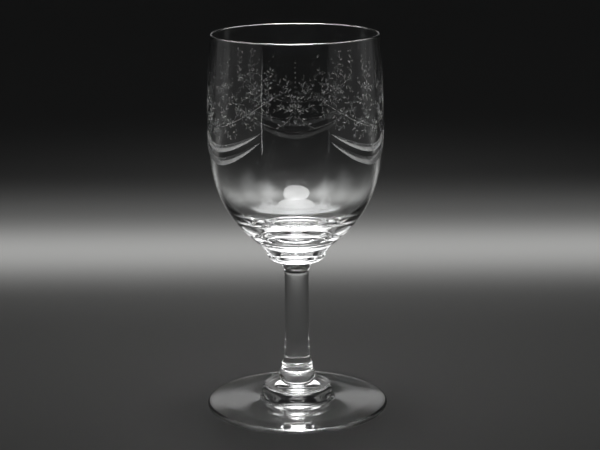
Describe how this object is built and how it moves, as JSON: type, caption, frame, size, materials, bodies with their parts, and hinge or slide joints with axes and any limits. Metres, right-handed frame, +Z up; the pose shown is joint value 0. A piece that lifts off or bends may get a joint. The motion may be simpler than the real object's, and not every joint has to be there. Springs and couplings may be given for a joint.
{
  "type": "wine glass",
  "caption": "Stemmed wine glass with a deep rounded bowl, a stack of stepped rings above and below a plain solid stem, and a wide disc foot.",
  "frame": {"origin": "on the table, at the centre of the foot", "axes": "+Z up the stem towards the rim"},
  "size_m": [0.07, 0.07, 0.145],
  "materials": {
    "bowl_glass": "clear polished glass with matt engraving on the outside",
    "stem_glass": "clear polished glass",
    "foot_glass": "clear polished glass"
  },
  "bodies": {
    "root": {"bowl": "bowl_glass", "upper_merese": "stem_glass", "button": "stem_glass", "stem": "stem_glass", "stem_band": "stem_glass", "stem_ring": "stem_glass", "foot_boss": "foot_glass", "foot": "foot_glass"}
  },
  "joints": []
}
